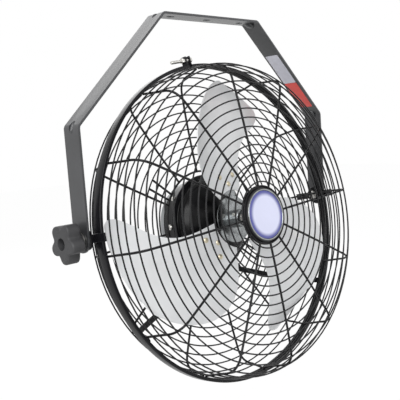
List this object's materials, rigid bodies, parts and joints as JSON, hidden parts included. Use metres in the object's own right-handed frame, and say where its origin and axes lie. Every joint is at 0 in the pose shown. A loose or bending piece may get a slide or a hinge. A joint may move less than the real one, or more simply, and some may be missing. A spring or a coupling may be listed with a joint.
{
  "type": "wall mounted fan",
  "caption": "Round caged axial fan whose head tilts in a bent strip yoke, with a five lobed knob, a split guard band and motor behind the blades.",
  "frame": {"origin": "centre of the outer face of the yoke's flat top plate, the face that lies against the wall or ceiling", "axes": "+Z out of that mounting face, away from the fan; +X along the tilt axis towards the lock nut; the fan blows towards -Y"},
  "size_m": [0.5729, 0.2445, 0.5666],
  "materials": {
    "yoke_paint": "semi-gloss dark grey enamel with a soft sheen",
    "black_steel": "gloss black enamel on rolled steel",
    "black_wire": "gloss black coating on round steel wire",
    "zinc_steel": "bright zinc plate",
    "bright_metal": "bright plated steel",
    "rivet_aluminium": "bright aluminium with a warm cast",
    "black_plastic": "moulded black plastic, fine grain",
    "black_rubber": "matt black fibre and rubber washer",
    "badge_face": "pale printed disc with a blue rim, bare",
    "motor_black": "semi-gloss black enamel on the motor case",
    "motor_silver": "silver grey enamel on the motor's rear bell",
    "core_steel": "stacked steel laminations",
    "blade_aluminium": "smooth rolled aluminium sheet"
  },
  "bodies": {
    "yoke": {"yoke_bracket": "yoke_paint"},
    "head": {"left_pivot_bracket": "black_steel", "right_pivot_bracket": "black_steel", "left_pivot_bolt": "zinc_steel", "right_pivot_bolt": "zinc_steel", "right_lock_nut": "zinc_steel", "left_pivot_washer": "zinc_steel", "right_pivot_washer": "zinc_steel", "left_friction_spacer": "black_rubber", "right_friction_spacer": "black_rubber", "guard_band": "black_steel", "band_clamp_screw": "zinc_steel", "band_clamp_nut": "zinc_steel", "front_guard": "black_wire", "rear_guard": "black_wire", "badge_cup": "black_plastic", "badge_bezel": "bright_metal", "badge_disc": "badge_face", "badge_backplate": "black_steel", "badge_screw": "zinc_steel", "motor_shell": "motor_black", "motor_front_bell": "motor_black", "motor_rear_bell": "motor_silver", "motor_stator": "core_steel", "front_bearing": "zinc_steel", "rear_bearing": "zinc_steel", "motor_mount": "black_steel", "motor_screw_1": "zinc_steel", "motor_screw_2": "zinc_steel", "motor_screw_3": "zinc_steel", "motor_screw_4": "zinc_steel", "switch_box": "black_plastic", "cord_gland": "black_plastic"},
    "rotor": {"motor_shaft": "zinc_steel", "motor_rotor_core": "core_steel", "blade_spider": "bright_metal", "hub_set_screw": "zinc_steel", "fan_blade_1": "blade_aluminium", "fan_blade_2": "blade_aluminium", "fan_blade_3": "blade_aluminium", "blade_rivet_1_1": "rivet_aluminium", "blade_rivet_1_2": "rivet_aluminium", "blade_rivet_1_3": "rivet_aluminium", "blade_rivet_2_1": "rivet_aluminium", "blade_rivet_2_2": "rivet_aluminium", "blade_rivet_2_3": "rivet_aluminium", "blade_rivet_3_1": "rivet_aluminium", "blade_rivet_3_2": "rivet_aluminium", "blade_rivet_3_3": "rivet_aluminium"},
    "clamp_knob": {"star_knob": "black_plastic"},
    "speed_dial": {"speed_knob": "black_plastic"}
  },
  "joints": [
    {"name": "head_tilt", "type": "hinge", "parent": "yoke", "child": "head", "pos_m": [0, 0, -0.309], "axis": [1, 0, 0], "range_deg": [-90, 90]},
    {"name": "rotor_spin", "type": "hinge", "parent": "head", "child": "rotor", "pos_m": [0, -0.02304, -0.31769], "axis": [0, 0.989, -0.1478], "continuous": true},
    {"name": "knob_turn", "type": "hinge", "parent": "head", "child": "clamp_knob", "pos_m": [-0.28, 0, -0.309], "axis": [-1, 0, 0], "range_deg": [0, 360]},
    {"name": "speed_turn", "type": "hinge", "parent": "head", "child": "speed_dial", "pos_m": [0, 0.112, -0.3379], "axis": [0, 0.989, -0.1478], "range_deg": [0, 135]}
  ]
}
